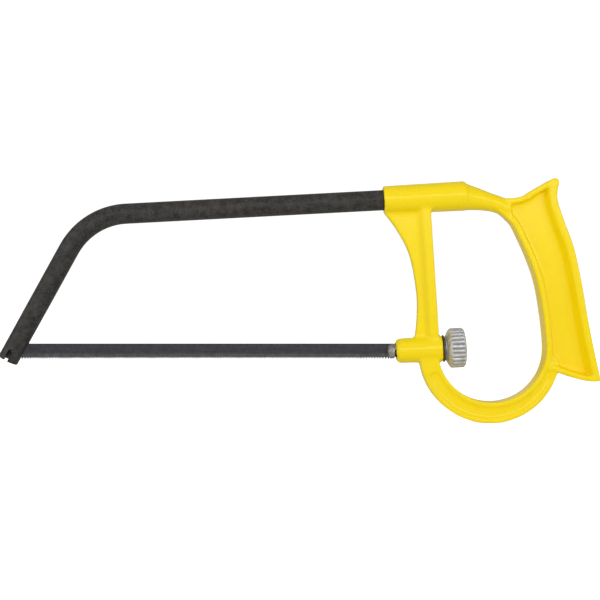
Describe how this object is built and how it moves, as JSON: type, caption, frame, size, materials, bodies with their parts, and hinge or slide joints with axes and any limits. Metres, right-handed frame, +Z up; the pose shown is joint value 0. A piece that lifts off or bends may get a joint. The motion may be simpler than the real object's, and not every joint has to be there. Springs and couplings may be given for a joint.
{
  "type": "junior hacksaw",
  "caption": "Junior hacksaw: bent tube frame, cast hand-loop handle, pinned fine-tooth blade and a knurled thumb nut that tensions it.",
  "frame": {"origin": "middle of the underside of the saw's box, in the saw's middle plane", "axes": "+X from the nose of the saw to the handle, +Y through its thickness, +Z up with the teeth pointing down"},
  "size_m": [0.23, 0.0152, 0.0937],
  "materials": {
    "handle_paint": "gloss",
    "tube_enamel": "satin",
    "blade_steel": "satin",
    "pin_steel": "satin",
    "stud_steel": "satin",
    "zinc_plate": "bright zinc plate"
  },
  "bodies": {
    "frame": {"handle_casting": "handle_paint", "frame_tube": "tube_enamel", "thrust_washer": "zinc_plate"},
    "nut": {"tension_nut": "zinc_plate"},
    "stud": {"tension_stud": "stud_steel"},
    "blade": {"blade": "blade_steel", "front_blade_pin": "pin_steel", "rear_blade_pin": "pin_steel"}
  },
  "joints": [
    {"name": "nut_spin", "type": "hinge", "parent": "frame", "child": "nut", "pos_m": [0.03783, 0, 0.02754], "axis": [0.9986, 0, 0.0523], "range_deg": [0, 1080]},
    {"name": "stud_slide", "type": "slide", "parent": "frame", "child": "stud", "axis": [-0.9986, 0, -0.0523], "range_m": [0, 0.003]},
    {"name": "blade_unhook", "type": "hinge", "parent": "stud", "child": "blade", "pos_m": [0.03783, 0, 0.02754], "axis": [0, -1, 0], "range_deg": [0, 1.99]}
  ],
  "couplings": [
    {"joint": "stud_slide", "follows": "nut_spin", "m_per_rad": 0.00015915},
    {"joint": "blade_unhook", "follows": "nut_spin", "ratio": 0.0018333}
  ]
}
